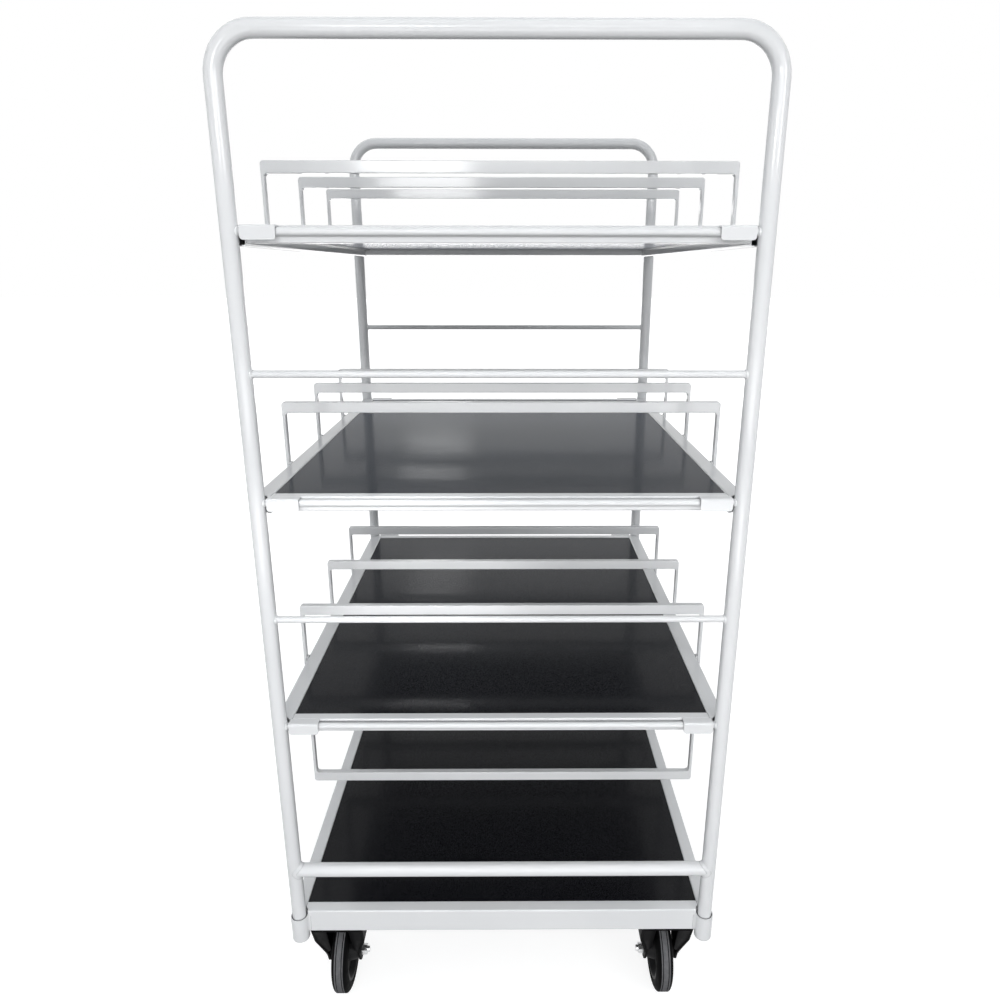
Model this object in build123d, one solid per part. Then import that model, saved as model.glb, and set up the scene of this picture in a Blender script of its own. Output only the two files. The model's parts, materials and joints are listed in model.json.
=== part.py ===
from build123d import *
import os

# Mobile storage rack: a welded base on four casters, two push-in end frames and three hook-in shelves.
# Millimetres; X to the right, Y to the rear, Z up. The origin is on the floor below the middle of the rack.

# End frames
frame_spacing = 1014.0  # between the centre planes of the front and rear frames
upright_spacing = 808.0  # between the centres of the two uprights of a frame
push_tube_dia = 26.9
push_tube_wall = 2.0
push_tube_height = 1795.0  # centre line of the handle above the floor
push_tube_bend = 62.0  # centre-line radius of the handle's corners
lower_tube_dia = 26.4
lower_tube_wall = 2.0
lower_tube_height = 352.0
crossbar_dia = 12.0
crossbar_first = 675.0  # lowest crossbar above the floor
crossbar_pitch = 213.0
crossbar_count = 5
weld_leg = 2.0  # leg of the weld bead round a crossbar's end

# Base
base_rail_height = 50.0
base_rail_width = 25.0
base_rail_wall = 2.0
base_rail_corner = 3.0
base_side_overhang = 13.5  # outer face of a side rail beyond the uprights' centres
deck_thickness = 12.0
deck_recess = 1.5  # deck surface below the rails' top
deck_gap = 1.0  # between the deck's edge and the rails
bearer_width = 40.0
bearer_height = 30.0
bearer_wall = 2.0
bearer_pitch = 300.0
bearer_count = 3
socket_wall = 2.0
socket_clearance = 1.4  # round the foot of an upright
socket_floor = 3.0
socket_below = 14.4  # socket's foot below the rails
socket_height = 56.4
socket_foot_round = 4.0
socket_lead = 0.8  # bevel inside the socket's mouth

# Shelves
shelves = ("lower", "middle", "top")  # from the lowest crossbar up, with a free crossbar between
shelf_bar_gap = 1.0  # between a crossbar and the shelf's end rail
shelf_side_overhang = 8.3  # outer face of a shelf's side rail beyond the uprights' centres
shelf_upright_gap = 3.5  # round an upright where a side rail is coped
shelf_side_width = 30.0
shelf_side_height = 30.0
shelf_end_width = 20.0
shelf_end_height = 26.0
shelf_rail_wall = 1.5
shelf_rail_corner = 3.0
panel_thickness = 10.0
panel_recess = 1.5
panel_gap = 1.0
ledge_width = 15.0
ledge_thickness = 3.0
hook_plate = 3.0
hook_width = 53.2
hook_inset = 26.5  # outer edge of a hook inside the shelf's outer face
hook_drop = 18.5  # lip below the plate that lies on the crossbar
hook_lip_gap = 1.5  # between the lip and the crossbar
hook_seat_clearance = 0.3
hook_bend = 4.0  # outer radius of the bend
hook_corner = 5.0
hoop_leg = 6.0
hoop_standoff = 3.7  # weld pad between a leg and the side rail
hoop_strap = 21.0
hoop_depth = 13.5
hoop_rise = 119.0  # strap's top above the shelf's top
hoop_overlap = 15.0  # leg on the side rail's face
hoop_pitch = 250.0
hoop_count = 3
hoop_row_shift = -12.0  # middle hoop from the shelf's middle
hoop_outer_corner = 6.0
hoop_inner_corner = 7.0
hoop_edge = 1.5
hanging_hoop_drop = 309.5  # strap's foot below the lower shelf's top

# Casters
caster_inset_x = 82.5  # wheel's middle inside the base's outer face
caster_inset_y = 68.0  # middle of a caster plate behind the frame's centre plane
plate_length = 134.0
plate_width = 105.0
plate_thickness = 4.0
plate_corner = 9.0
plate_hole_x = 75.0
plate_hole_y = 105.0
pad_length = 115.0
pad_width = 112.0
pad_thickness = 5.0
bolt_dia = 8.0
bolt_hole_clearance = 0.4
bolt_head_flats = 13.0
bolt_head_height = 5.3
bolt_tip = 3.0  # thread beyond the nut
nut_height = 6.5
wheel_dia = 160.0
wheel_crown_gap = 18.9  # above the wheel, under a swivel fork's crown
tyre_width = 35.0
tyre_depth = 22.0
tyre_tread_width = 18.4
tyre_groove_width = 1.6
tyre_groove_depth = 2.6
tyre_rib_width = 9.8
tyre_bead_width = 32.0
tyre_shoulder_drop = 19.0  # from the tread down to the widest place
tyre_shoulder_radius = 26.0
tyre_seat_clearance = 0.05
hub_width = 60.0
hub_dia = 38.0
hub_draft = 2.0
web_thickness = 8.0
web_blend = 4.0
rim_depth = 7.0
bearing_dia = 20.0
bearing_seat_clearance = 0.02
axle_dia = 12.0
axle_clearance = 0.05
axle_head_flats = 19.0
axle_head_height = 7.5
axle_nut_height = 11.0
axle_tip = 5.0
fork_wall = 4.0
fork_hub_clearance = 0.3
fork_boss_dia = 40.0
fork_bend = 20.0
crown_bend = 7.0
fixed_top_half = 50.5  # middle of a fixed fork's cheek from the wheel's middle, at the plate
fixed_knee_half = 49.0
fixed_leg_rise = 15.0  # straight leg above the axle
fixed_knee_rise = 55.0  # knee above the straight leg
fixed_top_length = 124.0

# Swivel casters
swivel_trail = 55.0
race_inner_dia = 62.0
race_outer_dia = 86.0
race_upper_depth = 5.0
race_lower_depth = 2.5
race_ring_dia = 5.2
race_clearance = 0.3  # above the ball ring
race_seat_clearance = 0.1  # below it
crown_front = 44.0  # crown's edge on the trailing side of the swivel axis
crown_back = 40.0
kingpin_dia = 12.0
kingpin_head_dia = 20.0
kingpin_head_height = 7.5
kingpin_clearance = 0.05
pedal_pin_dia = 8.0
pedal_pin_clearance = 0.05
pedal_pin_head = 2.0
pedal_pivot_trail = 78.0  # pedal's pin behind the swivel axis
pedal_pivot_drop = 10.9  # pedal's pin below the crown's top
pedal_ear_dia = 20.0
pedal_barrel_dia = 15.0
pedal_width = 52.0
pedal_side_gap = 2.0  # between the pedal's barrel and a cheek
pedal_plate = 5.0
pedal_neck = 24.0  # from the pin to the bend of the pedal
pedal_neck_rise = 4.0
pedal_toe = 72.0  # from the pin to the toe
pedal_toe_drop = 14.0
pedal_travel = 12.0  # degrees from released to locked
shoe_start = 14.0  # brake shoe from the pin
shoe_length = 20.0
shoe_width = 30.0
shoe_clearance = 0.4  # over the tyre when locked

# Places that follow from the sizes above
frame_y = frame_spacing / 2
upright_x = upright_spacing / 2
tube_r = push_tube_dia / 2
bar_r = crossbar_dia / 2
crown_under = wheel_dia + wheel_crown_gap
crown_top = crown_under + fork_wall
crown_middle = crown_top - fork_wall / 2
race_ring_r = race_ring_dia / 2
race_lower_top = crown_top + race_lower_depth
race_ring_z = race_lower_top + race_seat_clearance + race_ring_r
race_upper_under = race_ring_z + race_ring_r + race_clearance
plate_under = race_upper_under + race_upper_depth
caster_height = plate_under + plate_thickness
pedal_pivot_height = crown_top - pedal_pivot_drop
base_top = caster_height + base_rail_height
base_half = upright_x + base_side_overhang
base_inner = base_half - base_rail_width
deck_top = base_top - deck_recess
deck_under = deck_top - deck_thickness
socket_r = tube_r + socket_clearance + socket_wall
socket_foot = caster_height - socket_below
upright_foot = socket_foot + socket_floor
bearer_places = [(i - (bearer_count - 1) / 2) * bearer_pitch for i in range(bearer_count)]
bar_heights = [crossbar_first + i * crossbar_pitch for i in range(crossbar_count)]
shelf_heights = bar_heights[:: (crossbar_count - 1) // (len(shelves) - 1)]
shelf_half = upright_x + shelf_side_overhang
shelf_inner = shelf_half - shelf_side_width
shelf_end = frame_y - bar_r - shelf_bar_gap
shelf_end_inner = shelf_end - shelf_end_width
shelf_top = bar_r + hook_seat_clearance + hook_plate  # above the crossbar's centre
panel_top = shelf_top - panel_recess
panel_under = panel_top - panel_thickness
caster_x = base_half - caster_inset_x
caster_y = frame_y - caster_inset_y
wheel_r = wheel_dia / 2
axle_height = wheel_r
axle_r = axle_dia / 2
rim_r = wheel_r - tyre_depth
bearing_r = bearing_dia / 2
hub_half = hub_width / 2
cheek_inner = hub_half + fork_hub_clearance
cheek_middle = cheek_inner + fork_wall / 2
cheek_outer = cheek_inner + fork_wall
boss_r = fork_boss_dia / 2
bolt_r = bolt_dia / 2
pedal_pin_r = pedal_pin_dia / 2
sides = ("left", "right")
span = frame_spacing + wheel_dia  # longer than any cut needs


def square_tube(length, width, height, wall, corner):
    # Hollow rail along Y with rounded long edges and open ends.
    outer = RectangleRounded(width, height, corner)
    inner = RectangleRounded(width - 2 * wall, height - 2 * wall, max(corner - wall, wall / 4))
    return extrude(Plane.XZ * (outer - inner), amount=length / 2, both=True)


def rod_x(radius, length):
    return Rot(0, 90, 0) * Cylinder(radius, length)


def hexagon_x(flats, length):
    # Six-sided bar along X, with flats facing front and rear.
    outline = RegularPolygon(flats / 2, 6, major_radius=False)
    return Rot(0, 90, 0) * extrude(outline, amount=length / 2, both=True)


def group(solids):
    return Compound(children=list(solids))


def side_of(shape, side):
    return shape if side == "left" else mirror(shape, about=Plane.YZ)


def upright_cut(y, radius):
    # Two upright cylinders at one end of the rack.
    height = 2 * push_tube_height
    return [Pos(side * upright_x, y, 0) * Cylinder(radius, height) for side in (-1, 1)]


# End frames
def push_tube(y):
    path = FilletPolyline(
        (-upright_x, y, upright_foot),
        (-upright_x, y, push_tube_height),
        (upright_x, y, push_tube_height),
        (upright_x, y, upright_foot),
        radius=push_tube_bend,
    )
    ring = Circle(tube_r) - Circle(tube_r - push_tube_wall)
    return sweep(Pos(-upright_x, y, upright_foot) * ring, path=path)


def lower_tube(y):
    tube_outer_r = lower_tube_dia / 2
    tube = rod_x(tube_outer_r, upright_spacing) - rod_x(tube_outer_r - lower_tube_wall, upright_spacing)
    return Pos(0, y, lower_tube_height) * tube - upright_cut(y, tube_r)


def crossbar(y):
    # Round bar whose ends flare into weld beads and are coped to the uprights, with its own height as zero.
    bar = rod_x(bar_r, upright_spacing)
    bead_start = upright_x - tube_r - weld_leg
    flare = Pos(0, 0, weld_leg / 2) * Cone(bar_r, bar_r + weld_leg, weld_leg)
    root = Pos(0, 0, weld_leg + tube_r / 2) * Cylinder(bar_r + weld_leg, tube_r)
    bead = Pos(bead_start, 0, 0) * Rot(0, 90, 0) * (flare + root)
    welded = bar + bead + mirror(bead, about=Plane.YZ)
    return Pos(0, y, 0) * welded - upright_cut(y, tube_r)


# Base
def base_side_rail():
    rail = square_tube(frame_spacing, base_rail_width, base_rail_height, base_rail_wall, base_rail_corner)
    placed = Pos(-base_half + base_rail_width / 2, 0, caster_height + base_rail_height / 2) * rail
    return placed - upright_cut(-frame_y, socket_r) - upright_cut(frame_y, socket_r)


def base_end_rail():
    rail = square_tube(2 * base_inner, base_rail_width, base_rail_height, base_rail_wall, base_rail_corner)
    middle = caster_height + base_rail_height / 2
    placed = Pos(0, -frame_y + base_rail_width / 2, middle) * Rot(0, 0, 90) * rail
    hole = Cylinder(bolt_r + bolt_hole_clearance, base_rail_height)
    holes = [Pos(x, y, caster_height) * hole for x, y in front_bolts() if y < -frame_y + base_rail_width]
    return placed - holes - upright_cut(-frame_y, socket_r)


def corner_socket():
    cup = fillet(Cylinder(socket_r, socket_height).edges().group_by(Axis.Z)[0], socket_foot_round)
    bore_r = tube_r + socket_clearance
    bore = Pos(0, 0, socket_floor) * Cylinder(bore_r, socket_height)
    lead = Pos(0, 0, (socket_height - socket_lead) / 2) * Cone(bore_r, bore_r + socket_lead, socket_lead)
    return Pos(-upright_x, -frame_y, socket_foot + socket_height / 2) * (cup - bore - lead)


def deck_panel():
    board = Box(2 * (base_inner - deck_gap), 2 * (frame_y - base_rail_width - deck_gap), deck_thickness)
    return Pos(0, 0, deck_top - deck_thickness / 2) * board


def cross_bearer(y):
    tube = square_tube(2 * base_inner, bearer_width, bearer_height, bearer_wall, base_rail_corner)
    return Pos(0, y, deck_under - bearer_height / 2) * Rot(0, 0, 90) * tube


def caster_pad():
    pad = Box(pad_width, pad_length, pad_thickness)
    x = -base_inner + pad_width / 2
    y = -frame_y + base_rail_width + pad_length / 2
    hole = Cylinder(bolt_r + bolt_hole_clearance, 2 * pad_thickness)
    inside = [(a, b) for a, b in front_bolts() if a < 0 and b > -frame_y + base_rail_width]
    holes = [Pos(a, b, caster_height) * hole for a, b in inside]
    return Pos(x, y, caster_height + pad_thickness / 2) * pad - holes


def four_corners(shape):
    # One shape at the front left, repeated in the other three corners.
    pair = [shape, mirror(shape, about=Plane.YZ)]
    return group(pair + [mirror(one, about=Plane.XZ) for one in pair])


# Shelves, with the height of the crossbar's centre as zero
def shelf_side_rail():
    length = 2 * shelf_end
    rail = square_tube(length, shelf_side_width, shelf_side_height, shelf_rail_wall, shelf_rail_corner)
    placed = Pos(-shelf_half + shelf_side_width / 2, 0, shelf_top - shelf_side_height / 2) * rail
    cope_r = tube_r + shelf_upright_gap
    return placed - upright_cut(-frame_y, cope_r) - upright_cut(frame_y, cope_r)


def shelf_end_rail():
    length = 2 * shelf_inner
    rail = square_tube(length, shelf_end_width, shelf_end_height, shelf_rail_wall, shelf_rail_corner)
    y = -shelf_end + shelf_end_width / 2
    return Pos(0, y, shelf_top - shelf_end_height / 2) * Rot(0, 0, 90) * rail


def shelf_hook():
    # Plate over the crossbar with a lip in front of it.
    middle_z = shelf_top - hook_plate / 2
    lip_y = -frame_y - bar_r - hook_lip_gap - hook_plate / 2
    line = FilletPolyline(
        (-shelf_end, middle_z),
        (lip_y, middle_z),
        (lip_y, shelf_top - hook_plate - hook_drop),
        radius=hook_bend - hook_plate / 2,
    )
    strip = extrude(Plane.YZ * trace(line, hook_plate), amount=hook_width / 2, both=True)
    corners = strip.edges().filter_by(Axis.Y).group_by(Axis.Z)[0]
    hook_x = -shelf_half + hook_inset + hook_width / 2
    return Pos(hook_x, 0, 0) * fillet(corners, hook_corner)


def shelf_panel():
    board = Box(2 * (shelf_inner - panel_gap), 2 * (shelf_end_inner - panel_gap), panel_thickness)
    return Pos(0, 0, panel_top - panel_thickness / 2) * board


def shelf_ledges():
    z = panel_under - ledge_thickness / 2
    side = Box(ledge_width, 2 * shelf_end_inner, ledge_thickness)
    end = Box(2 * (shelf_inner - ledge_width), ledge_width, ledge_thickness)
    side_x = shelf_inner - ledge_width / 2
    end_y = shelf_end_inner - ledge_width / 2
    strips = [Pos(x, 0, z) * side for x in (-side_x, side_x)]
    return group(strips + [Pos(0, y, z) * end for y in (-end_y, end_y)])


def hoop(foot, top):
    # Flat frame open at its foot: two legs on pads at the side rails' faces and a strap across, rounded all round.
    height = top - foot
    leg_inner = shelf_half + hoop_standoff
    half = leg_inner + hoop_leg
    outer = Pos(0, foot + height / 2) * Rectangle(2 * half, height)
    outer = fillet(outer.vertices().group_by(Axis.Y)[-1], hoop_outer_corner)
    inner_height = height - hoop_strap
    inner = Pos(0, foot + inner_height / 2) * Rectangle(2 * leg_inner, inner_height)
    inner = fillet(inner.vertices().group_by(Axis.Y)[-1], hoop_inner_corner)
    bar = extrude(Plane.XZ * (outer - inner), amount=hoop_depth / 2, both=True)
    bar = fillet(bar.faces().filter_by(Axis.Y).edges(), hoop_edge)
    pad = Box(hoop_standoff, hoop_depth - 2 * hoop_edge, hoop_overlap)
    pad_x = leg_inner - hoop_standoff / 2
    pads = [Pos(x, 0, foot + hoop_overlap / 2) * pad for x in (-pad_x, pad_x)]
    return bar + pads


def hoop_row(shape):
    first = hoop_row_shift - hoop_pitch * (hoop_count - 1) / 2
    return group(Pos(0, first + i * hoop_pitch, 0) * shape for i in range(hoop_count))


def standing_hoop():
    return hoop(shelf_top - hoop_overlap, shelf_top + hoop_rise)


def hanging_hoop():
    # The same frame turned over, from the lower half of the side rails down.
    foot = -shelf_top + hoop_overlap
    turned = hoop(foot, hanging_hoop_drop - shelf_top)
    return mirror(turned, about=Plane.XY)


# Casters, with the swivel axis or plate centre as X and Y zero and the floor as Z zero
def plate_holes():
    return [(i * plate_hole_x / 2, j * plate_hole_y / 2) for i in (-1, 1) for j in (-1, 1)]


def front_bolts():
    # Bolt centres of the two front casters.
    return [(s * caster_x + x, -caster_y + y) for s in (-1, 1) for x, y in plate_holes()]


def caster_plate():
    outline = RectangleRounded(plate_width, plate_length, plate_corner)
    holes = [Pos(x, y) * Circle(bolt_r + bolt_hole_clearance) for x, y in plate_holes()]
    return extrude(Pos(0, 0, plate_under) * (outline - holes), amount=plate_thickness)


def bolt_set(nut_seat):
    # Hexagon bolt from below with its nut on the plate that it clamps.
    tip = nut_seat + nut_height + bolt_tip
    hexagon = RegularPolygon(bolt_head_flats / 2, 6, major_radius=False)
    head = extrude(Pos(0, 0, plate_under - bolt_head_height) * hexagon, amount=bolt_head_height)
    shank = extrude(Pos(0, 0, plate_under) * Circle(bolt_r), amount=tip - plate_under)
    nut_face = hexagon - Circle(bolt_r + axle_clearance)
    nut = extrude(Pos(0, 0, nut_seat) * nut_face, amount=nut_height)
    return [head + shank, nut]


def caster_bolts():
    # Two bolts of each caster go into the end rail and two through the corner pad.
    parts = []
    for x, y in front_bolts():
        in_rail = y < -frame_y + base_rail_width
        seat = caster_height + (base_rail_wall if in_rail else pad_thickness)
        parts += [Pos(x, y, 0) * one for one in bolt_set(seat)]
    return group(parts + [mirror(one, about=Plane.XZ) for one in parts])


def cheeks(line, outline):
    # A bent strip and its mirror image, trimmed to a side outline.
    strip = extrude(Plane.XZ * trace(line, fork_wall), amount=span, both=True)
    pair = strip + mirror(strip, about=Plane.YZ)
    return pair & extrude(Plane.YZ * outline, amount=span, both=True)


def fixed_fork():
    # Pressed fork under its plate: cheeks come down from the plate's edges and step in to the hub.
    leg_top = axle_height + fixed_leg_rise
    foot = axle_height - boss_r
    line = FilletPolyline(
        (fixed_top_half, plate_under),
        (fixed_knee_half, leg_top + fixed_knee_rise),
        (cheek_middle, leg_top),
        (cheek_middle, foot),
        radius=fork_bend,
    )
    top = Polyline((-fixed_top_length / 2, plate_under), (fixed_top_length / 2, plate_under))
    boss = Pos(0, axle_height) * Circle(boss_r)
    outline = make_hull(top.edges() + boss.edges())
    hole = Pos(0, 0, axle_height) * rod_x(axle_r + axle_clearance, span)
    return caster_plate() + (cheeks(line, outline) - hole)


def axle_set():
    # Axle bolt of a left caster, with its head on the outer cheek and its nut on the inner one.
    tip = cheek_outer + axle_nut_height + axle_tip
    middle = (tip - cheek_outer) / 2
    shank = Pos(middle, 0, 0) * rod_x(axle_r, tip + cheek_outer)
    head = Pos(-cheek_outer - axle_head_height / 2, 0, 0) * hexagon_x(axle_head_flats, axle_head_height)
    ring = hexagon_x(axle_head_flats, axle_nut_height) - rod_x(axle_r + axle_clearance, axle_nut_height)
    nut = Pos(cheek_outer + axle_nut_height / 2, 0, 0) * ring
    return [Pos(0, 0, axle_height) * one for one in (head + shank, nut)]


def turned_x(points):
    # Solid of revolution about the axle from points of half its width and radius.
    mirrored = [(-x, r) for x, r in reversed(points)]
    section = make_face(Polyline(*points, *mirrored, close=True))
    return Pos(0, 0, axle_height) * revolve(Plane.XY * section, axis=Axis.X)


def rim():
    # Hub, thin web and bed for the tyre, turned in one piece.
    bore_r = bearing_r + bearing_seat_clearance
    hub_r = hub_dia / 2
    bed_r = rim_r - rim_depth
    web = web_thickness / 2
    bed = tyre_bead_width / 2
    return turned_x(
        [
            (hub_half, bore_r),
            (hub_half, hub_r - hub_draft),
            (web + web_blend, hub_r + web_blend),
            (web, hub_r + 2 * web_blend),
            (web, bed_r - web_blend),
            (bed, bed_r + hub_draft),
            (bed, rim_r),
        ]
    )


def tyre():
    # Rounded shoulders and three ribs parted by two grooves.
    seat_r = rim_r + tyre_seat_clearance
    bead = tyre_bead_width / 2
    wide = tyre_width / 2
    tread = tyre_tread_width / 2
    wall_r = wheel_r - tyre_shoulder_drop
    groove_r = wheel_r - tyre_groove_depth
    rib = tyre_rib_width / 2
    edge = rib + tyre_groove_width
    half = [
        Line((0, seat_r), (bead, seat_r)),
        Line((bead, seat_r), (wide, wall_r)),
        RadiusArc((wide, wall_r), (tread, wheel_r), -tyre_shoulder_radius),
        Line((tread, wheel_r), (edge, wheel_r)),
        Line((edge, wheel_r), (edge, groove_r)),
        Line((edge, groove_r), (rib, groove_r)),
        Line((rib, groove_r), (rib, wheel_r)),
        Line((rib, wheel_r), (0, wheel_r)),
        Line((0, wheel_r), (0, seat_r)),
    ]
    ring = revolve(make_face(half), axis=Axis.X)
    return Pos(0, 0, axle_height) * (ring + mirror(ring, about=Plane.YZ))


def bearing():
    sleeve = rod_x(bearing_r, hub_width) - rod_x(axle_r + axle_clearance, hub_width)
    return Pos(0, 0, axle_height) * sleeve


def race(top, depth):
    ring = Circle(race_outer_dia / 2) - Circle(race_inner_dia / 2)
    return extrude(Pos(0, 0, top - depth) * ring, amount=depth)


def swivel_plate():
    # Mounting plate with the upper ball race pressed below it and the kingpin's hole.
    hole = Pos(0, 0, caster_height) * Cylinder(kingpin_dia / 2 + kingpin_clearance, span)
    return caster_plate() + race(plate_under, race_upper_depth) - hole


def kingpin():
    head = Pos(0, 0, crown_under - race_clearance - kingpin_head_height)
    shank_foot = crown_under - race_clearance
    shank = extrude(Pos(0, 0, shank_foot) * Circle(kingpin_dia / 2), amount=caster_height - shank_foot)
    return shank + extrude(head * Circle(kingpin_head_dia / 2), amount=kingpin_head_height)


def ball_ring():
    return Pos(0, 0, race_ring_z) * Torus((race_inner_dia + race_outer_dia) / 4, race_ring_r)


def trailing(s, z):
    # Point of a swivel caster's side view: s behind the swivel axis, towards the front at rest.
    return (-s, z)


def swivel_fork():
    # Crown and two cheeks bent from one strip, with ears for the brake pedal's pin.
    line = FilletPolyline(
        (0, crown_middle),
        (cheek_middle, crown_middle),
        (cheek_middle, axle_height - boss_r),
        radius=crown_bend,
    )
    top = Polyline(trailing(-crown_back, crown_top), trailing(crown_front, crown_top))
    boss = Pos(*trailing(swivel_trail, axle_height)) * Circle(boss_r)
    ear = Pos(*trailing(pedal_pivot_trail, pedal_pivot_height)) * Circle(pedal_ear_dia / 2)
    outline = make_hull(top.edges() + boss.edges() + ear.edges())
    bent = cheeks(line, outline)
    slot_height = 2 * (crown_top - pedal_pivot_height) + pedal_ear_dia
    slot = Pos(0, -crown_front - pedal_toe, crown_top) * Box(2 * cheek_inner, 2 * pedal_toe, slot_height)
    axle = Pos(0, -swivel_trail, axle_height) * rod_x(axle_r + axle_clearance, span)
    pin = Pos(0, -pedal_pivot_trail, pedal_pivot_height) * rod_x(pedal_pin_r + pedal_pin_clearance, span)
    pin_hole = Pos(0, 0, crown_top) * Cylinder(kingpin_dia / 2 + kingpin_clearance, span)
    return bent + race(race_lower_top, race_lower_depth) - slot - axle - pin - pin_hole


def swivel_pins():
    # Axle bolt, its nut and the brake pedal's headed pin.
    pin = rod_x(pedal_pin_r, 2 * (cheek_outer + pedal_pin_head))
    cap = rod_x(pedal_pin_r + pedal_pin_head, pedal_pin_head)
    cap_x = cheek_outer + pedal_pin_head / 2
    headed = pin + Pos(cap_x, 0, 0) * cap + Pos(-cap_x, 0, 0) * cap
    placed = Pos(0, -pedal_pivot_trail, pedal_pivot_height) * headed
    return group([Pos(0, -swivel_trail, 0) * one for one in axle_set()] + [placed])


def brake_pedal():
    # Foot lever on a barrel; the shoe under it is cut to the tyre as it meets the locked brake.
    pivot_s = pedal_pivot_trail
    pivot_z = pedal_pivot_height
    lever_line = FilletPolyline(
        trailing(pivot_s, pivot_z),
        trailing(pivot_s + pedal_neck, pivot_z + pedal_neck_rise),
        trailing(pivot_s + pedal_toe, pivot_z - pedal_toe_drop),
        radius=pedal_neck / 2,
    )
    lever = extrude(Plane.YZ * trace(lever_line, pedal_plate), amount=pedal_width / 2, both=True)
    shoe_foot = pivot_z - wheel_r / 2
    shoe_outline = make_face(
        Polyline(
            trailing(pivot_s + shoe_start, pivot_z),
            trailing(pivot_s + shoe_start + shoe_length, pivot_z),
            trailing(pivot_s + shoe_start + shoe_length, shoe_foot),
            trailing(pivot_s + shoe_start, shoe_foot),
            close=True,
        )
    )
    shoe = extrude(Plane.YZ * shoe_outline, amount=shoe_width / 2, both=True)
    pivot = Pos(0, -pivot_s, pivot_z)
    wheel = Pos(0, pivot_s - swivel_trail, axle_height - pivot_z) * rod_x(wheel_r + shoe_clearance, span)
    locked_wheel = pivot * Rot(-pedal_travel, 0, 0) * wheel
    barrel_length = 2 * (cheek_inner - pedal_side_gap)
    barrel = pivot * rod_x(pedal_barrel_dia / 2, barrel_length)
    bore = pivot * rod_x(pedal_pin_r + pedal_pin_clearance, span)
    return lever + (shoe - locked_wheel) + barrel - bore


# Every node by name
end_rail = base_end_rail()
nodes = {
    "base_side_rails": group(side_of(base_side_rail(), side) for side in sides),
    "base_end_rails": group([end_rail, mirror(end_rail, about=Plane.XZ)]),
    "base_corner_sockets": four_corners(corner_socket()),
    "base_deck_panel": deck_panel(),
    "base_cross_bearers": group(cross_bearer(y) for y in bearer_places),
    "base_caster_pads": four_corners(caster_pad()),
    "caster_bolts": caster_bolts(),
}

front_frame = {
    "push_tube": push_tube(-frame_y),
    "lower_tube": lower_tube(-frame_y),
    "crossbars": group(Pos(0, 0, z) * crossbar(-frame_y) for z in bar_heights),
}
for piece, shape in front_frame.items():
    nodes["front_" + piece] = shape
    nodes["rear_" + piece] = mirror(shape, about=Plane.XZ)

shelf_end_rail_front = shelf_end_rail()
shelf_pieces = {
    "side_rails": group(side_of(shelf_side_rail(), side) for side in sides),
    "end_rails": group([shelf_end_rail_front, mirror(shelf_end_rail_front, about=Plane.XZ)]),
    "hooks": four_corners(shelf_hook()),
    "panel": shelf_panel(),
    "ledges": shelf_ledges(),
    "hoops": hoop_row(standing_hoop()),
}
for shelf, height in zip(shelves, shelf_heights):
    for piece, shape in shelf_pieces.items():
        nodes[shelf + "_shelf_" + piece] = Pos(0, 0, height) * shape
nodes["lower_shelf_hanging_hoops"] = Pos(0, 0, shelf_heights[0]) * hoop_row(hanging_hoop())

front_place = Pos(-caster_x, -caster_y, 0)
rear_place = Pos(-caster_x, caster_y, 0)
rear_wheel_place = Pos(-caster_x, caster_y - swivel_trail, 0)
left_axle = [front_place * one for one in axle_set()]
nodes["front_axle_bolts"] = group(left_axle + [mirror(one, about=Plane.YZ) for one in left_axle])
left_casters = {
    "front_fork": front_place * fixed_fork(),
    "rear_plate": rear_place * swivel_plate(),
    "rear_kingpin": rear_place * kingpin(),
    "rear_ball_ring": rear_place * ball_ring(),
    "rear_fork": rear_place * swivel_fork(),
    "rear_pins": rear_place * swivel_pins(),
    "brake_pedal": rear_place * brake_pedal(),
}
for piece, shape in (("rim", rim()), ("tyre", tyre()), ("bearing", bearing())):
    left_casters["front_" + piece] = front_place * shape
    left_casters["rear_" + piece] = rear_wheel_place * shape
for piece, shape in left_casters.items():
    for side in sides:
        nodes[piece + "_" + side] = side_of(shape, side)

os.makedirs("parts", exist_ok=True)
for name, shape in nodes.items():
    export_step(shape, "parts/" + name + ".step")
print(len(nodes), "nodes written")
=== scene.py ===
import json
import math

import bpy
import numpy as np
from mathutils import Matrix, Vector


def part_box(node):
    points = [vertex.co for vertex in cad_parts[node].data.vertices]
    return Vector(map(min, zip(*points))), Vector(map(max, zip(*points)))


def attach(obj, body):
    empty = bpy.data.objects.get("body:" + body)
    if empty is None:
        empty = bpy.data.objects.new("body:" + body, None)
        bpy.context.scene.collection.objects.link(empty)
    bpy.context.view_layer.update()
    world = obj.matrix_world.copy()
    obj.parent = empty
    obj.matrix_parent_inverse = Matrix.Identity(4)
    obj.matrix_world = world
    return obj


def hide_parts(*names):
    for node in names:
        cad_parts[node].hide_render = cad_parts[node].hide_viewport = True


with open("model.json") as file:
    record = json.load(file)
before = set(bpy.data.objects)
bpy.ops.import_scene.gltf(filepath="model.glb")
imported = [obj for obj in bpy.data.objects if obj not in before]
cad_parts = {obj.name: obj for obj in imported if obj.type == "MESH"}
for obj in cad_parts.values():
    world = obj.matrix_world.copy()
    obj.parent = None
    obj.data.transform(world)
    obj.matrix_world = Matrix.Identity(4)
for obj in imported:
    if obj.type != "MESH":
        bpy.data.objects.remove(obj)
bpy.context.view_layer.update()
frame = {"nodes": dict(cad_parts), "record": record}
nodes = frame["nodes"]
record = frame["record"]
sides = (("left", -1), ("right", 1))
ends = (("front", -1), ("rear", 1))
print("frame loaded:", len(nodes), "nodes")


# Finishes: helpers that put nodes into a material's tree
def newFinish(name):
    material = bpy.data.materials.new(name)
    material.use_nodes = True
    tree = material.node_tree
    shader = tree.nodes["Principled BSDF"]
    place = tree.nodes.new("ShaderNodeTexCoord").outputs["Object"]
    return material, tree, shader, place


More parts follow.
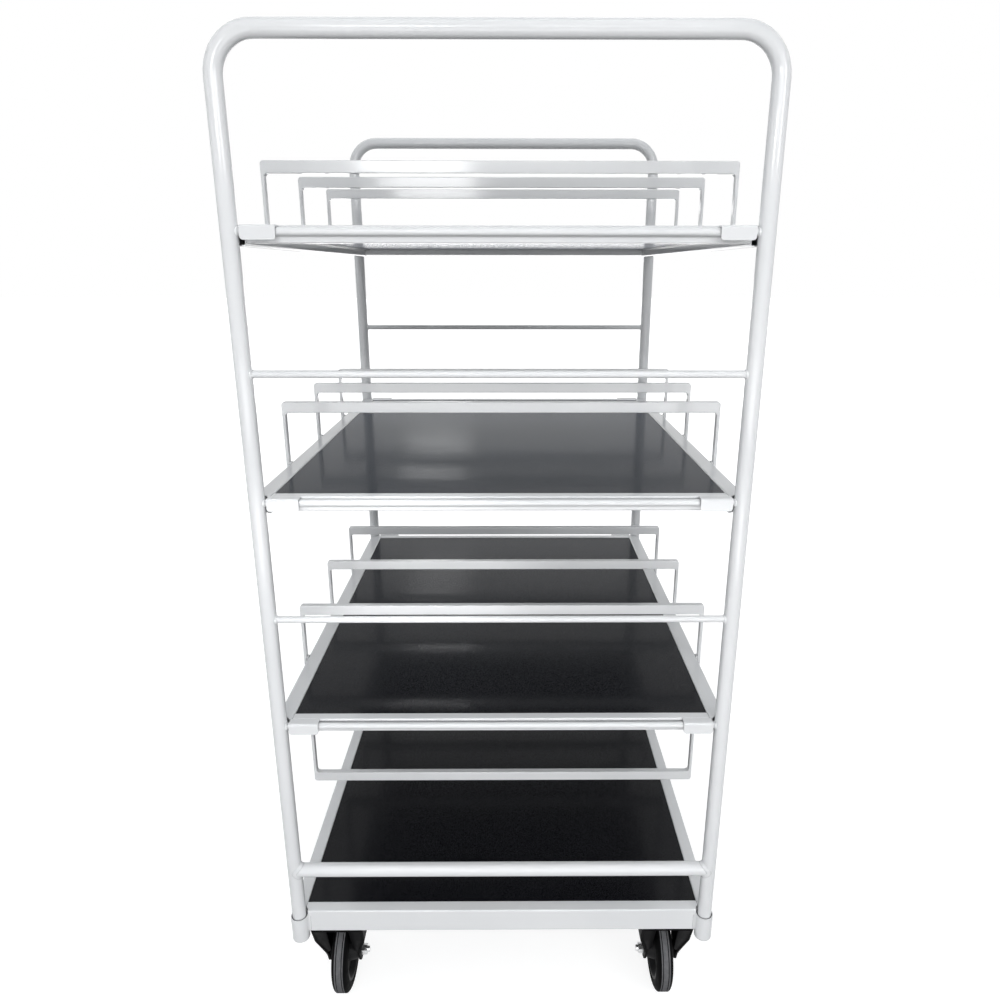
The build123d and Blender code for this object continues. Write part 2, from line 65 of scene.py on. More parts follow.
def stretched(tree, place, scale):
    mapping = tree.nodes.new("ShaderNodeMapping")
    mapping.inputs["Scale"].default_value = scale
    tree.links.new(place, mapping.inputs["Vector"])
    return mapping.outputs["Vector"]


def noiseOn(tree, place, scale, detail, rough=0.5):
    noise = tree.nodes.new("ShaderNodeTexNoise")
    noise.inputs["Scale"].default_value = scale
    noise.inputs["Detail"].default_value = detail
    noise.inputs["Roughness"].default_value = rough
    tree.links.new(place, noise.inputs["Vector"])
    return noise.outputs["Fac"]


def rangeOf(tree, value, fromLow, fromHigh, low, high):
    node = tree.nodes.new("ShaderNodeMapRange")
    limits = {"From Min": fromLow, "From Max": fromHigh, "To Min": low, "To Max": high}
    for socket, number in limits.items():
        node.inputs[socket].default_value = number
    tree.links.new(value, node.inputs["Value"])
    return node.outputs["Result"]


def tintOf(tree, value, stops):
    # Colour ramp with two stops, each a place and a colour
    ramp = tree.nodes.new("ShaderNodeValToRGB")
    for element, (place, colour) in zip(ramp.color_ramp.elements, stops):
        element.position = place
        element.color = (*colour, 1.0)
    tree.links.new(value, ramp.inputs["Fac"])
    return ramp.outputs["Color"]


def mixOf(tree, share, first, second):
    # Blend of two colours, each a socket or a plain colour
    node = tree.nodes.new("ShaderNodeMix")
    node.data_type = "RGBA"
    shareIn, firstIn, secondIn = [socket for socket in node.inputs if socket.enabled]
    tree.links.new(share, shareIn)
    for socket, colour in ((firstIn, first), (secondIn, second)):
        if isinstance(colour, tuple):
            socket.default_value = (*colour, 1.0)
        else:
            tree.links.new(colour, socket)
    return [socket for socket in node.outputs if socket.enabled][0]


def timesOf(tree, first, second):
    node = tree.nodes.new("ShaderNodeVectorMath")
    node.operation = "MULTIPLY"
    tree.links.new(first, node.inputs[0])
    tree.links.new(second, node.inputs[1])
    return node.outputs["Vector"]


def bumpOf(tree, value, strength, distance):
    bump = tree.nodes.new("ShaderNodeBump")
    bump.inputs["Strength"].default_value = strength
    bump.inputs["Distance"].default_value = distance
    tree.links.new(value, bump.inputs["Height"])
    return bump.outputs["Normal"]


# In these looks a noise is its scale, detail and roughness, and a bump its strength and depth in metres.
noiseSpan = (0.3, 0.7)  # most of a noise lies between these values

coatLook = {
    "colours": ((0.30, (0.735, 0.745, 0.755)), (0.70, (0.775, 0.782, 0.79))),
    "cloud": (5.0, 4.0),  # faint uneven tone
    "peel": (420.0, 2.0),  # orange peel of sprayed powder
    "peelBump": (0.006, 0.0003),
    "smear": (38.0, 5.0, 0.6),
    "roughness": (0.10, 0.13),
    "specular": 0.42,
    "gapShadeReach": 0.005,  # metres from a surface that counts as a corner for the painted shade
    "gapShadeSamples": 6,
    # painted shade in corners and gaps: the coat's colour is multiplied by this grey-to-white ramp of
    # the occlusion
    "gapShade": ((0.25, (0.30, 0.30, 0.31)), (0.70, (1.0, 1.0, 1.0))),
}


def powderCoat(name, look):
    material, tree, shader, place = newFinish(name)
    link = tree.links.new
    cloud = noiseOn(tree, place, *look["cloud"])
    corner = tree.nodes.new("ShaderNodeAmbientOcclusion")  # painted shade: darkens the colour in narrow gaps and corners, where shadow falls
    corner.samples = look["gapShadeSamples"]
    corner.inputs["Distance"].default_value = look["gapShadeReach"]
    gapShade = tintOf(tree, corner.outputs["AO"], look["gapShade"])
    link(timesOf(tree, tintOf(tree, cloud, look["colours"]), gapShade), shader.inputs["Base Color"])
    smear = noiseOn(tree, place, *look["smear"])
    link(rangeOf(tree, smear, *noiseSpan, *look["roughness"]), shader.inputs["Roughness"])
    shader.inputs["Specular IOR Level"].default_value = look["specular"]
    peel = noiseOn(tree, place, *look["peel"])
    link(bumpOf(tree, peel, *look["peelBump"]), shader.inputs["Normal"])
    return material


boardLook = {
    "colours": ((0.25, (0.0032, 0.0034, 0.0048)), (0.75, (0.0048, 0.0050, 0.0068))),
    "cloud": (7.0, 5.0),
    "film": (950.0, 2.0),
    "filmBump": (0.02, 0.0002),
    "scuffStretch": (2.0, 5.0, 2.0),
    "scuff": (3.0, 6.0, 0.65),
    "scuffSpan": (0.35, 0.70),
    "roughness": (0.125, 0.15),
    "spots": (900.0, 1.0),
    "spotSpan": (0.48, 0.50),  # noise values between polished and matt film
    "mattRoughness": 0.5,
    "specular": 0.115,
    "haze": 0.08,
    "hazeRoughness": 0.30,
    "hazeTint": (0.25, 0.55, 1.0),
}


def filmBoard(name, look):
    # Pressed film: polished spots beside matt ones, finer than a millimetre, under a faint bluish haze
    material, tree, shader, place = newFinish(name)
    link = tree.links.new
    cloud = noiseOn(tree, place, *look["cloud"])
    link(tintOf(tree, cloud, look["colours"]), shader.inputs["Base Color"])
    scuff = noiseOn(tree, stretched(tree, place, look["scuffStretch"]), *look["scuff"])
    spots = noiseOn(tree, place, *look["spots"])
    rougher = tree.nodes.new("ShaderNodeMath")
    rougher.operation = "MAXIMUM"
    link(rangeOf(tree, scuff, *look["scuffSpan"], *look["roughness"]), rougher.inputs[0])
    link(rangeOf(tree, spots, *look["spotSpan"], 0.0, look["mattRoughness"]), rougher.inputs[1])
    link(rougher.outputs["Value"], shader.inputs["Roughness"])
    shader.inputs["Specular IOR Level"].default_value = look["specular"]
    shader.inputs["Sheen Weight"].default_value = look["haze"]
    shader.inputs["Sheen Roughness"].default_value = look["hazeRoughness"]
    shader.inputs["Sheen Tint"].default_value = (*look["hazeTint"], 1)
    film = noiseOn(tree, place, *look["film"])
    link(bumpOf(tree, film, *look["filmBump"]), shader.inputs["Normal"])
    return material


bracketLook = {
    "colours": ((0.35, (0.0050, 0.0050, 0.0054)), (0.70, (0.0085, 0.0085, 0.0090))),
    "cloud": (45.0, 5.0, 0.6),
    "grain": (700.0, 3.0),
    "grainBump": (0.18, 0.0003),
    "roughness": (0.34, 0.52),
    "specular": 0.012,
}


def blackBracket(name, look):
    material, tree, shader, place = newFinish(name)
    link = tree.links.new
    cloud = noiseOn(tree, place, *look["cloud"])
    link(tintOf(tree, cloud, look["colours"]), shader.inputs["Base Color"])
    link(rangeOf(tree, cloud, *noiseSpan, *look["roughness"]), shader.inputs["Roughness"])
    shader.inputs["Specular IOR Level"].default_value = look["specular"]
    grain = noiseOn(tree, place, *look["grain"])
    link(bumpOf(tree, grain, *look["grainBump"]), shader.inputs["Normal"])
    return material


zincLook = {
    "colours": ((0.25, (0.52, 0.525, 0.53)), (0.75, (0.74, 0.745, 0.75))),
    "spangleScale": 160.0,
    "spangleSpan": (0.0, 0.8),
    "toneDetail": 4.0,
    "roughness": (0.22, 0.42),
    "grain": (900.0, 3.0),
    "grainBump": (0.12, 0.0002),
}


def zincPlate(name, look):
    material, tree, shader, place = newFinish(name)
    link = tree.links.new
    shader.inputs["Metallic"].default_value = 1.0
    spangle = tree.nodes.new("ShaderNodeTexVoronoi")
    spangle.inputs["Scale"].default_value = look["spangleScale"]
    link(place, spangle.inputs["Vector"])
    tone = noiseOn(tree, place, look["spangleScale"], look["toneDetail"])
    link(tintOf(tree, tone, look["colours"]), shader.inputs["Base Color"])
    dulled = rangeOf(tree, spangle.outputs["Distance"], *look["spangleSpan"], *look["roughness"])
    link(dulled, shader.inputs["Roughness"])
    grain = noiseOn(tree, place, *look["grain"])
    link(bumpOf(tree, grain, *look["grainBump"]), shader.inputs["Normal"])
    return material


rubberLook = {
    "side": ((0.30, (0.0025, 0.0025, 0.0028)), (0.75, (0.0045, 0.0045, 0.0048))),
    "tread": ((0.25, (0.105, 0.107, 0.114)), (0.80, (0.165, 0.164, 0.168))),
    "dust": (120.0, 5.0, 0.6),
    "grain": (1400.0, 3.0),
    "grainBump": (0.25, 0.0003),
    "roughness": (0.55, 0.80),
    "specular": 0.03,
}


def tyreRubber(name, look):
    # Black sides and a scuffed grey tread: the tread attribute is 1 on the ribs' tops and 0 elsewhere.
    material, tree, shader, place = newFinish(name)
    link = tree.links.new
    dust = noiseOn(tree, place, *look["dust"])
    side = tintOf(tree, dust, look["side"])
    tread = tintOf(tree, dust, look["tread"])
    mask = tree.nodes.new("ShaderNodeAttribute")
    mask.attribute_name = "tread"
    link(mixOf(tree, mask.outputs["Fac"], side, tread), shader.inputs["Base Color"])
    link(rangeOf(tree, dust, *noiseSpan, *look["roughness"]), shader.inputs["Roughness"])
    shader.inputs["Specular IOR Level"].default_value = look["specular"]
    grain = noiseOn(tree, place, *look["grain"])
    link(bumpOf(tree, grain, *look["grainBump"]), shader.inputs["Normal"])
    return material


centreLook = {
    "colours": ((0.3, (0.0150, 0.0150, 0.0158)), (0.7, (0.0240, 0.0240, 0.0250))),
    "cloud": (60.0, 5.0, 0.6),
    "grain": (1100.0, 3.0),
    "grainBump": (0.2, 0.0002),
    "roughness": (0.42, 0.58),
    "specular": 0.10,
}
steelLook = {
    "colours": ((0.25, (0.46, 0.46, 0.47)), (0.75, (0.62, 0.62, 0.63))),
    "spangleScale": 400.0,
    "spangleSpan": (0.0, 0.8),
    "toneDetail": 4.0,
    "roughness": (0.18, 0.30),
    "grain": (1600.0, 3.0),
    "grainBump": (0.12, 0.0002),
}

finishes = {
    "white_coat": powderCoat("white_coat", coatLook),
    "black_board": filmBoard("black_board", boardLook),
    "black_bracket": blackBracket("black_bracket", bracketLook),
    "zinc_fastener": zincPlate("zinc_fastener", zincLook),
    "tyre_rubber": tyreRubber("tyre_rubber", rubberLook),
    "wheel_centre": blackBracket("wheel_centre", centreLook),
    "bearing_steel": zincPlate("bearing_steel", steelLook),
}
for part in record["subparts"]:
    mesh = nodes[part["node"]].data
    mesh.materials.clear()
    mesh.materials.append(finishes[part["material_slot"]])
print("finishes:", len(finishes))


# Surfaces: grids of points become one mesh
def gridFaces(rows, cols, wrapRows, wrapCols):
    index = np.arange(rows * cols).reshape(rows, cols)
    if wrapRows:
        index = np.concatenate([index, index[:1]], 0)
    if wrapCols:
        index = np.concatenate([index, index[:, :1]], 1)
    corners = (index[:-1, :-1], index[1:, :-1], index[1:, 1:], index[:-1, 1:])
    return np.stack(corners, -1).reshape(-1, 4)


def surfacePiece(name, grids, body, slot, replaced=(), attribute=None):
    # Every grid is (points, wraps along, wraps around); all of them make one piece.
    points, faces, start = [], [], 0
    for grid, wrapRows, wrapCols in grids:
        rows, cols = grid.shape[:2]
        points.append(grid.reshape(-1, 3))
        faces += (gridFaces(rows, cols, wrapRows, wrapCols) + start).tolist()
        start += rows * cols
        if wrapCols and not wrapRows:  # a fan closes each end of a strip
            points.append(np.stack([grid[0].mean(0), grid[-1].mean(0)]))
            ring = np.arange(cols) + start - rows * cols
            far = ring + (rows - 1) * cols
            faces += np.stack([np.full(cols, start), ring, np.roll(ring, -1)], -1).tolist()
            faces += np.stack([np.full(cols, start + 1), np.roll(far, -1), far], -1).tolist()
            start += 2
    mesh = bpy.data.meshes.new(name)
    mesh.from_pydata(np.concatenate(points).tolist(), [], faces)
    mesh.polygons.foreach_set("use_smooth", np.ones(len(mesh.polygons), bool))
    if attribute is not None:
        layer = mesh.attributes.new(attribute[0], "FLOAT", "POINT")
        layer.data.foreach_set("value", np.asarray(attribute[1], np.float32).ravel())
    mesh.materials.append(finishes[slot])
    mesh.update()
    piece = bpy.data.objects.new(name, mesh)
    bpy.context.scene.collection.objects.link(piece)
    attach(piece, body)
    if replaced:
        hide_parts(*replaced)


def turnedX(profile, centre, count):
    # Surface of revolution about a line along X: point (x, r) at angle a goes to (x, r cos a, r sin a).
    angle = np.linspace(0, 2 * np.pi, count, endpoint=False)[:, None]
    x = np.broadcast_to(profile[None, :, 0], (count, len(profile)))
    y = profile[None, :, 1] * np.cos(angle)
    z = profile[None, :, 1] * np.sin(angle)
    return np.stack([x, y, z], -1) + np.asarray(centre)


# Tyres: ribs with softened edges, on the CAD tyre's own box
tyreSizes = {
    "depth": 0.022,
    "treadHalf": 0.0092,
    "ribHalf": 0.0049,
    "groove": 0.0016,
    "grooveDepth": 0.0026,
    "shoulderDrop": 0.019,
    "beadHalf": 0.016,
    "seatClear": 0.0001,  # over the rim
    "edge": 0.0007,
    "wornDepth": 0.0010,  # below the ribs' tops, where the tread's colour ends
    "cornerSteps": 5,
    "shoulderSteps": 14,
    "around": 160,
}


def tyreProfile(radius, half, s):
    # Outline from the middle of the tread out and down one side, then across the seat;
    # each rib's corner is cut by a short arc, and the shoulder is a quarter of an ellipse.
    edge = s["edge"]
    arc = np.linspace(0, np.pi / 2, s["cornerSteps"])

    def roundOver(x, r, towards):
        turn = np.stack([np.sin(arc) * edge, np.cos(arc) * edge], -1) - [edge, edge]
        turn[:, 0] *= towards
        return turn + [x, r]

    rib, outer, deep = s["ribHalf"], s["ribHalf"] + s["groove"], radius - s["grooveDepth"]
    flatEnd = s["treadHalf"] - edge
    middleRib = np.concatenate([[[0.0, radius]], roundOver(rib, radius, 1), [[rib, deep]]])
    sideRib = np.concatenate([[[outer, deep]], roundOver(outer, radius, -1)[::-1], [[flatEnd, radius]]])
    sweep = np.linspace(0, np.pi / 2, s["shoulderSteps"])[1:]
    reach, drop = half - s["treadHalf"] + edge, s["shoulderDrop"]
    shoulder = np.stack([flatEnd + reach * np.sin(sweep), radius - drop + drop * np.cos(sweep)], -1)
    seatRadius = radius - s["depth"] + s["seatClear"]
    seat = [[s["beadHalf"], seatRadius], [0.0, seatRadius]]
    return np.concatenate([middleRib, sideRib, shoulder, seat])


for end, _ in ends:
    for side, _ in sides:
        low, high = (np.array(corner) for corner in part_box(f"{end}_tyre_{side}"))
        centre = (low + high) / 2
        radius, half = (high[2] - low[2]) / 2, (high[0] - low[0]) / 2
        oneSide = tyreProfile(radius, half, tyreSizes)
        mirrored = oneSide[1:-1][::-1] * [-1, 1]
        profile = np.concatenate([oneSide, mirrored])
        below = radius - profile[:, 1]
        onTread = np.abs(profile[:, 0]) < tyreSizes["treadHalf"]
        worn = np.where(onTread & (below < tyreSizes["wornDepth"]), 1.0, 0.0)
        grid = turnedX(profile, centre, tyreSizes["around"])
        mask = np.broadcast_to(worn, grid.shape[:2])
        surfacePiece(f"{end}_tyre_skin_{side}", [(grid, True, True)], f"{end}_wheel_{side}",
                     "tyre_rubber", (f"{end}_tyre_{side}",), ("tread", mask))
print("tyres done")


# Front forks: the pressed cheeks' edges turn in towards the wheel
forkSizes = {
    "plate": 0.004,
    "topHalf": 0.0505,
    "kneeHalf": 0.0490,
    "kneeHeight": 0.150,
    "legHalf": 0.0323,
    "legHeight": 0.095,
    "topReach": 0.062,
    "bossRadius": 0.020,
    "endHeight": 0.101,  # the edge runs out above the boss
    "runOut": 0.012,
    "sheet": 0.003,
    "wheelGap": 0.005,
    "bendSteps": 7,
    "along": 40,
}


def forkEdge(centre, tyreHalf, top, across, fore, s):
    # Strip down a cheek's edge. Its height z falls evenly;
    # the cheek's middle and the edge's line follow from z.
    z = np.linspace(top, s["endHeight"], s["along"])
    heights = (s["legHeight"], s["kneeHeight"], top)
    outer = np.interp(z, heights, (s["legHalf"], s["kneeHalf"], s["topHalf"]))
    y = np.interp(z, (centre[2], top), (s["bossRadius"], s["topReach"]))
    fade = np.clip((z - s["endHeight"]) / s["runOut"], 0.0, 1.0)
    inner = outer - (outer - tyreHalf - s["wheelGap"]) * np.sqrt(fade)
    bend = np.linspace(-np.pi / 2, np.pi / 2, s["bendSteps"])
    half = s["sheet"] / 2
    ring = [(outer, -half), (outer, half)]
    ring += [(inner + half * (1 - math.cos(a)), half * -math.sin(a)) for a in bend]
    x = np.stack([np.broadcast_to(px, z.shape) for px, _ in ring], 1)
    deep = np.array([py for _, py in ring])[None, :]
    height = np.broadcast_to(z[:, None], x.shape)
    points = np.stack([across * x, fore * (y[:, None] - half - deep), height], -1)
    if across * fore > 0:
        points = points[:, ::-1]
    return points + [centre[0], centre[1], 0.0]


for side, _ in sides:
    low, high = (np.array(corner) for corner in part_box(f"front_tyre_{side}"))
    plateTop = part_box(f"front_fork_{side}")[1][2]
    centre, tyreHalf, top = (low + high) / 2, (high[0] - low[0]) / 2, plateTop - forkSizes["plate"]
    strips = [(forkEdge(centre, tyreHalf, top, across, fore, forkSizes), False, True)
              for across in (-1, 1) for fore in (-1, 1)]
    surfacePiece(f"front_fork_edges_{side}", strips, "chassis", "black_bracket")
print("fork edges done")


# Weld beads in the corners between tubes, rails and sockets
beadLook = {
    "leg": 0.0050,
    "height": 0.12,  # of the leg, over the hollow of the corner
    "pitch": 0.0042,
    "ripple": 0.10,
    "across": 7,
    "sunk": 0.0006,
    "step": 0.0007,  # between sections along a bead
    "endTaper": 0.30,
    "taperPower": 6,
    "fromBottom": 0.002,  # straight beads start above the rail's bottom
    "fromTop": 0.0005,  # and stop under the socket's top
}


def unit(vectors):
    return vectors / np.linalg.norm(vectors, axis=-1, keepdims=True)


def beadGrid(corner, first, second, outward, closed, look):
    # Section from a point on one piece to a point on the other:
    # (1-s)^2 first + 2s(1-s) corner + s^2 second, raised by 4s(1-s) along the outward line;
    # a last point under the corner closes it.
    steps = np.linalg.norm(np.diff(corner, axis=0), axis=1)
    along = np.concatenate([[0.0], np.cumsum(steps)])
    swell = 1 + look["ripple"] * (np.abs(np.sin(np.pi * along / look["pitch"])) - 0.5)
    if not closed:
        place = 2 * along / along[-1] - 1
        taper = look["endTaper"] + (1 - look["endTaper"]) * np.sqrt(1 - place ** look["taperPower"])
        swell = swell * taper
        first = corner + (first - corner) * taper[:, None]
        second = corner + (second - corner) * taper[:, None]
    s = np.linspace(0, 1, look["across"])[None, :, None]
    hollow = (1 - s) ** 2 * first[:, None] + 2 * s * (1 - s) * corner[:, None] + s ** 2 * second[:, None]
    leg = np.linalg.norm(first - corner, axis=1)
    rise = (look["height"] * leg * swell)[:, None, None] * 4 * s * (1 - s)
    root = corner - outward * look["sunk"]
    grid = np.concatenate([hollow + outward[:, None] * rise, root[:, None]], 1)
    facing = np.cross(corner[1] - corner[0], second[0] - first[0]) @ outward[0]
    return grid[:, ::-1] if facing < 0 else grid


def boxOf(node):
    return tuple(np.array(corner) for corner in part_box(node))


tubeLow, tubeHigh = boxOf("front_push_tube")
lowerLow, lowerHigh = boxOf("front_lower_tube")
sideLow, sideHigh = boxOf("base_side_rails")
endLow = boxOf("base_end_rails")[0]
socketHigh = boxOf("base_corner_sockets")[1]
uprightRadius = (tubeHigh[1] - tubeLow[1]) / 2
uprightX = tubeHigh[0] - uprightRadius
frameY = -(tubeLow[1] + tubeHigh[1]) / 2
lowerRadius = (lowerHigh[2] - lowerLow[2]) / 2
lowerHeight = (lowerHigh[2] + lowerLow[2]) / 2
socketRadius = socketHigh[0] - uprightX


def placed(points, sideSign, endSign):
    # From a corner's own frame (X towards the rack's middle, Y outwards at the end) to its place
    return points * [-sideSign, endSign, 1] + [sideSign * uprightX, endSign * frameY, 0]


def cornerBead(corner, first, second, outward, closed, sideSign, endSign):
    spots = [placed(one, sideSign, endSign) for one in (corner, first, second)]
    return beadGrid(*spots, outward * [-sideSign, endSign, 1], closed, beadLook), closed, True


def saddleBead(sideSign, endSign):
    # Closed path round the lower tube where it meets the upright,
    # with x^2 + y^2 equal to the upright's radius squared
    around = np.linspace(0, 2 * np.pi, int(2 * np.pi * lowerRadius / beadLook["step"]), endpoint=False)
    y, z = lowerRadius * np.cos(around), lowerRadius * np.sin(around)
    x = np.sqrt(uprightRadius ** 2 - y ** 2)
    corner = np.stack([x, y, z], -1)
    tubeOut = np.stack([0 * x, np.cos(around), np.sin(around)], -1)
    uprightOut = np.stack([x, y, 0 * z], -1) / uprightRadius
    away = unit(tubeOut - (tubeOut * uprightOut).sum(-1, keepdims=True) * uprightOut)
    first = corner + [beadLook["leg"], 0, 0]
    second = corner + beadLook["leg"] * away
    second[:, :2] *= uprightRadius / np.linalg.norm(second[:, :2], axis=1, keepdims=True)
    lines = (line + [0, 0, lowerHeight] for line in (corner, first, second))
    return cornerBead(*lines, unit(tubeOut + uprightOut), True, sideSign, endSign)


def uprightLine(x, y, low, high):
    z = np.linspace(low, high, int((high - low) / beadLook["step"]))
    return np.stack([np.full_like(z, x), np.full_like(z, y), z], -1)


def endRailBead(sideSign, endSign):
    # Straight line up the socket where the end rail's face meets it
    low, high = endLow[2] + beadLook["fromBottom"], socketHigh[2] - beadLook["fromTop"]
    turn = beadLook["leg"] / socketRadius
    corner = uprightLine(socketRadius, 0, low, high)
    first = uprightLine(socketRadius + beadLook["leg"], 0, low, high)
    second = uprightLine(socketRadius * math.cos(turn), socketRadius * math.sin(turn), low, high)
    outward = np.broadcast_to(unit(np.array([1.0, 1.0, 0.0])), corner.shape)
    return cornerBead(corner, first, second, outward, False, sideSign, endSign)


def sideRailBead(sideSign, endSign):
    # The same on the outer side, where the side rail's face meets the socket at a flat angle
    low, high = sideLow[2] + beadLook["fromBottom"], socketHigh[2] - beadLook["fromTop"]
    faceX = uprightX - sideHigh[0]
    start = math.acos(faceX / socketRadius)
    turn = start - beadLook["leg"] / socketRadius
    faceY = -socketRadius * math.sin(start)
    spots = [(faceX, faceY), (faceX, faceY - beadLook["leg"]),
             (socketRadius * math.cos(turn), -socketRadius * math.sin(turn))]
    corner, first, second = (uprightLine(x, y, low, high) for x, y in spots)
    socketOut = np.array([math.cos(start), -math.sin(start), 0.0])
    outward = np.broadcast_to(unit(socketOut + [-1.0, 0.0, 0.0]), corner.shape)
    return cornerBead(corner, first, second, outward, False, sideSign, endSign)


frameBeads = [bead(sideSign, endSign) for bead in (saddleBead, endRailBead, sideRailBead)
              for _, sideSign in sides for _, endSign in ends]
surfacePiece("frame_weld_beads", frameBeads, "chassis", "white_coat")
print("frame beads:", len(frameBeads))


# Stage: a white floor and world, soft lamps and the photograph's camera
stageLook = {
    "seen": (0.40, 0.40, 0.40),
    "bounce": (0.10, 0.10, 0.105),
    "roughness": 0.9,
    "glow": 0.80,
    "farGlow": 1.0,
    "fade": (1.6, 5.0),  # metres from the middle over which the glow grows to the far one
    "half": 40.0,
}


def backgroundRays(tree):
    # 1 for rays that show the background itself: straight to the camera, in gloss or through glass
    path = tree.nodes.new("ShaderNodeLightPath")
    total = path.outputs["Is Camera Ray"]
    for ray in ("Is Glossy Ray", "Is Transmission Ray"):
        larger = tree.nodes.new("ShaderNodeMath")
        larger.operation = "MAXIMUM"
        tree.links.new(total, larger.inputs[0])
        tree.links.new(path.outputs[ray], larger.inputs[1])
        total = larger.outputs["Value"]
    return total


def whiteFloor(look):
    half = look["half"]
    mesh = bpy.data.meshes.new("floor")
    corners = [(-half, -half, 0), (half, -half, 0), (half, half, 0), (-half, half, 0)]
    mesh.from_pydata(corners, [], [(0, 1, 2, 3)])
    material, tree, shader, place = newFinish("floor")
    link = tree.links.new
    seen = backgroundRays(tree)
    link(mixOf(tree, seen, look["bounce"], look["seen"]), shader.inputs["Base Color"])
    shader.inputs["Roughness"].default_value = look["roughness"]
    shader.inputs["Specular IOR Level"].default_value = 0.0
    shader.inputs["Emission Color"].default_value = (1, 1, 1, 1)
    reach = tree.nodes.new("ShaderNodeVectorMath")
    reach.operation = "LENGTH"
    link(place, reach.inputs[0])
    glow = tree.nodes.new("ShaderNodeMath")
    glow.operation = "MULTIPLY"
    grown = rangeOf(tree, reach.outputs["Value"], *look["fade"], look["glow"], look["farGlow"])
    link(grown, glow.inputs[0])
    link(seen, glow.inputs[1])
    link(glow.outputs["Value"], shader.inputs["Emission Strength"])
    mesh.materials.append(material)
    floor = bpy.data.objects.new("floor", mesh)
    bpy.context.scene.collection.objects.link(floor)


whiteFloor(stageLook)

worldLook = {"ambient": (0.94, 0.97, 1.0), "strength": 0.565}


def studioWorld(look):
    world = bpy.data.worlds.new("studio")
    world.use_nodes = True
    tree = world.node_tree
    link = tree.links.new
    ambient = tree.nodes["Background"]
    ambient.inputs["Color"].default_value = (*look["ambient"], 1)
    ambient.inputs["Strength"].default_value = look["strength"]
    white = tree.nodes.new("ShaderNodeBackground")
    white.inputs["Color"].default_value = (1, 1, 1, 1)
    white.inputs["Strength"].default_value = 1.0
    mix = tree.nodes.new("ShaderNodeMixShader")
    link(backgroundRays(tree), mix.inputs["Fac"])
    link(ambient.outputs["Background"], mix.inputs[1])
    link(white.outputs["Background"], mix.inputs[2])
    link(mix.outputs["Shader"], tree.nodes["World Output"].inputs["Surface"])
    bpy.context.scene.world = world


studioWorld(worldLook)

lamps = {
    "keyLamp": {"at": (0.0, -2.7, 2.15), "aim": (0, 0, 1.1), "size": (1.8, 0.35), "watts": 10.5},
    "rightLamp": {"at": (2.0, -3.0, 2.3), "aim": (0, 0, 1.0), "size": (0.9, 0.7), "watts": 21},
    "leftLamp": {"at": (-3.6, -1.6, 1.6), "aim": (0, 0, 0.9), "size": (1.2, 2.0), "watts": 12},
    "boomLamp": {"at": (-0.36, -2.03, 1.88), "aim": (0, 0, 1.3), "size": (0.42, 0.14), "watts": 3.0},
    "middleLamp": {"at": (0.0, -2.3, 0.98), "aim": (0, 0, 1.0), "size": (2.4, 0.3), "watts": 9},
    "lowLamp": {"at": (0.0, -2.3, 0.42), "aim": (0, 0, 0.8), "size": (2.0, 0.3), "watts": 8},
    "ceilingFront": {"at": (0.0, -3.0, 7.2), "aim": (0, -0.3, 0.9), "size": (4.5, 3.5), "watts": 25},
    "ceilingRear": {"at": (0.0, 3.0, 5.0), "aim": (0, 0, 0.9), "size": (4.0, 2.5), "watts": 23},
    "rearFill": {"at": (0.0, 3.4, 0.9), "aim": (0, 0, 0.9), "size": (2.6, 1.0), "watts": 16},
    "rearLow": {"at": (-0.43, 3.0, 1.815), "aim": (-0.135, -0.11, 1.109), "size": (0.45, 0.06),
                "watts": 0.20, "shape": "ELLIPSE"},
    "rearHigh": {"at": (-0.49, 3.0, 1.987), "aim": (-0.131, -0.33, 1.109), "size": (0.45, 0.06),
                 "watts": 0.30, "shape": "ELLIPSE"},
}
# Narrow beams on the lower hoops, which the board mirrors
beamLook = {
    "across": {"beamLeft": (-0.47, -0.20), "beamMiddle": (-0.36, -0.15), "beamRight": (-0.25, -0.10)},
    "at": (-2.03, 1.86),  # along and up; across gives the lamp's x and its aim's x
    "aim": (-0.14, 0.79),
    "size": 0.14,
    "watts": 20,
    "cone": 13,  # degrees
    "softEdge": 0.6,
}


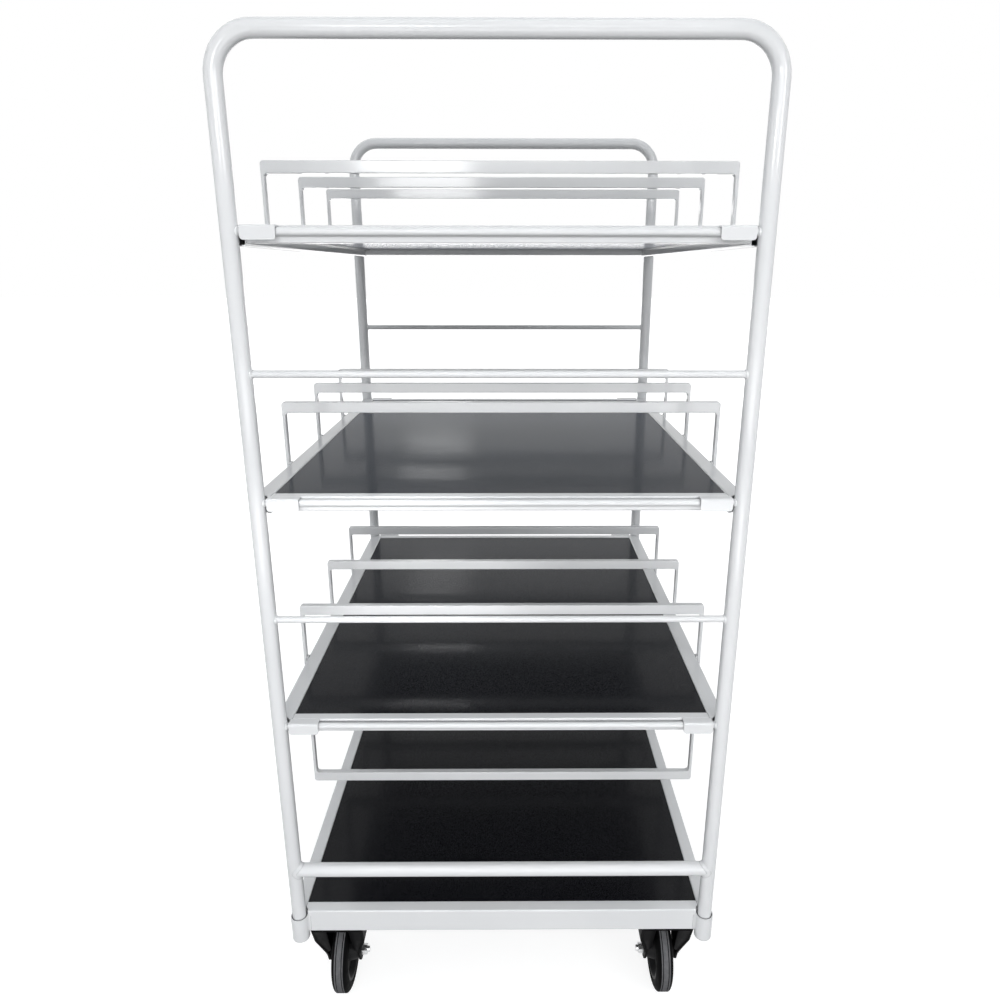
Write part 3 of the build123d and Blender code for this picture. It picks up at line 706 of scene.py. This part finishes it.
def hang(name, light, at, aim, watts):
    light.energy = watts
    holder = bpy.data.objects.new(name, light)
    turn = (Vector(aim) - Vector(at)).to_track_quat("-Z", "Y")
    holder.matrix_world = Matrix.Translation(at) @ turn.to_matrix().to_4x4()
    holder.visible_camera = False
    bpy.context.scene.collection.objects.link(holder)


for name, lamp in lamps.items():
    light = bpy.data.lights.new(name, "AREA")
    light.shape = lamp.get("shape", "RECTANGLE")
    light.size, light.size_y = lamp["size"]
    hang(name, light, lamp["at"], lamp["aim"], lamp["watts"])
for name, (x, aimX) in beamLook["across"].items():
    light = bpy.data.lights.new(name, "SPOT")
    light.shadow_soft_size = beamLook["size"] / 2
    light.spot_size = math.radians(beamLook["cone"])
    light.spot_blend = beamLook["softEdge"]
    hang(name, light, (x, *beamLook["at"]), (aimX, *beamLook["aim"]), beamLook["watts"])

cameraView = {
    "at": (0.0175, -1.7100, 1.4729),
    "focalPixels": 756.08,
    "framePixels": 1000.0,
    "centrePixel": 515.05,  # the photograph is cropped a little off its optical centre
    "pitch": 16.971,  # degrees down
    "yaw": 0.351,  # degrees to the right
    "roll": 0.0507,  # degrees
    "sensor": 36.0,  # millimetres
    "clipEnd": 60.0,
}


def photoCamera(view):
    data = bpy.data.cameras.new("photoCamera")
    data.sensor_width = view["sensor"]
    data.sensor_fit = "HORIZONTAL"
    data.lens = data.sensor_width * view["focalPixels"] / view["framePixels"]
    data.shift_x = 0.5 - view["centrePixel"] / view["framePixels"]
    data.clip_end = view["clipEnd"]
    camera = bpy.data.objects.new("photoCamera", data)
    turn = Matrix.Rotation(-math.radians(view["yaw"]), 4, "Z")
    tilt = Matrix.Rotation(math.radians(90 - view["pitch"]), 4, "X")
    roll = Matrix.Rotation(math.radians(view["roll"]), 4, "Z")
    camera.matrix_world = Matrix.Translation(view["at"]) @ turn @ tilt @ roll
    bpy.context.scene.collection.objects.link(camera)
    bpy.context.scene.camera = camera


photoCamera(cameraView)
bpy.context.scene.view_settings.view_transform = "Standard"
print("stage, lamps and camera set")
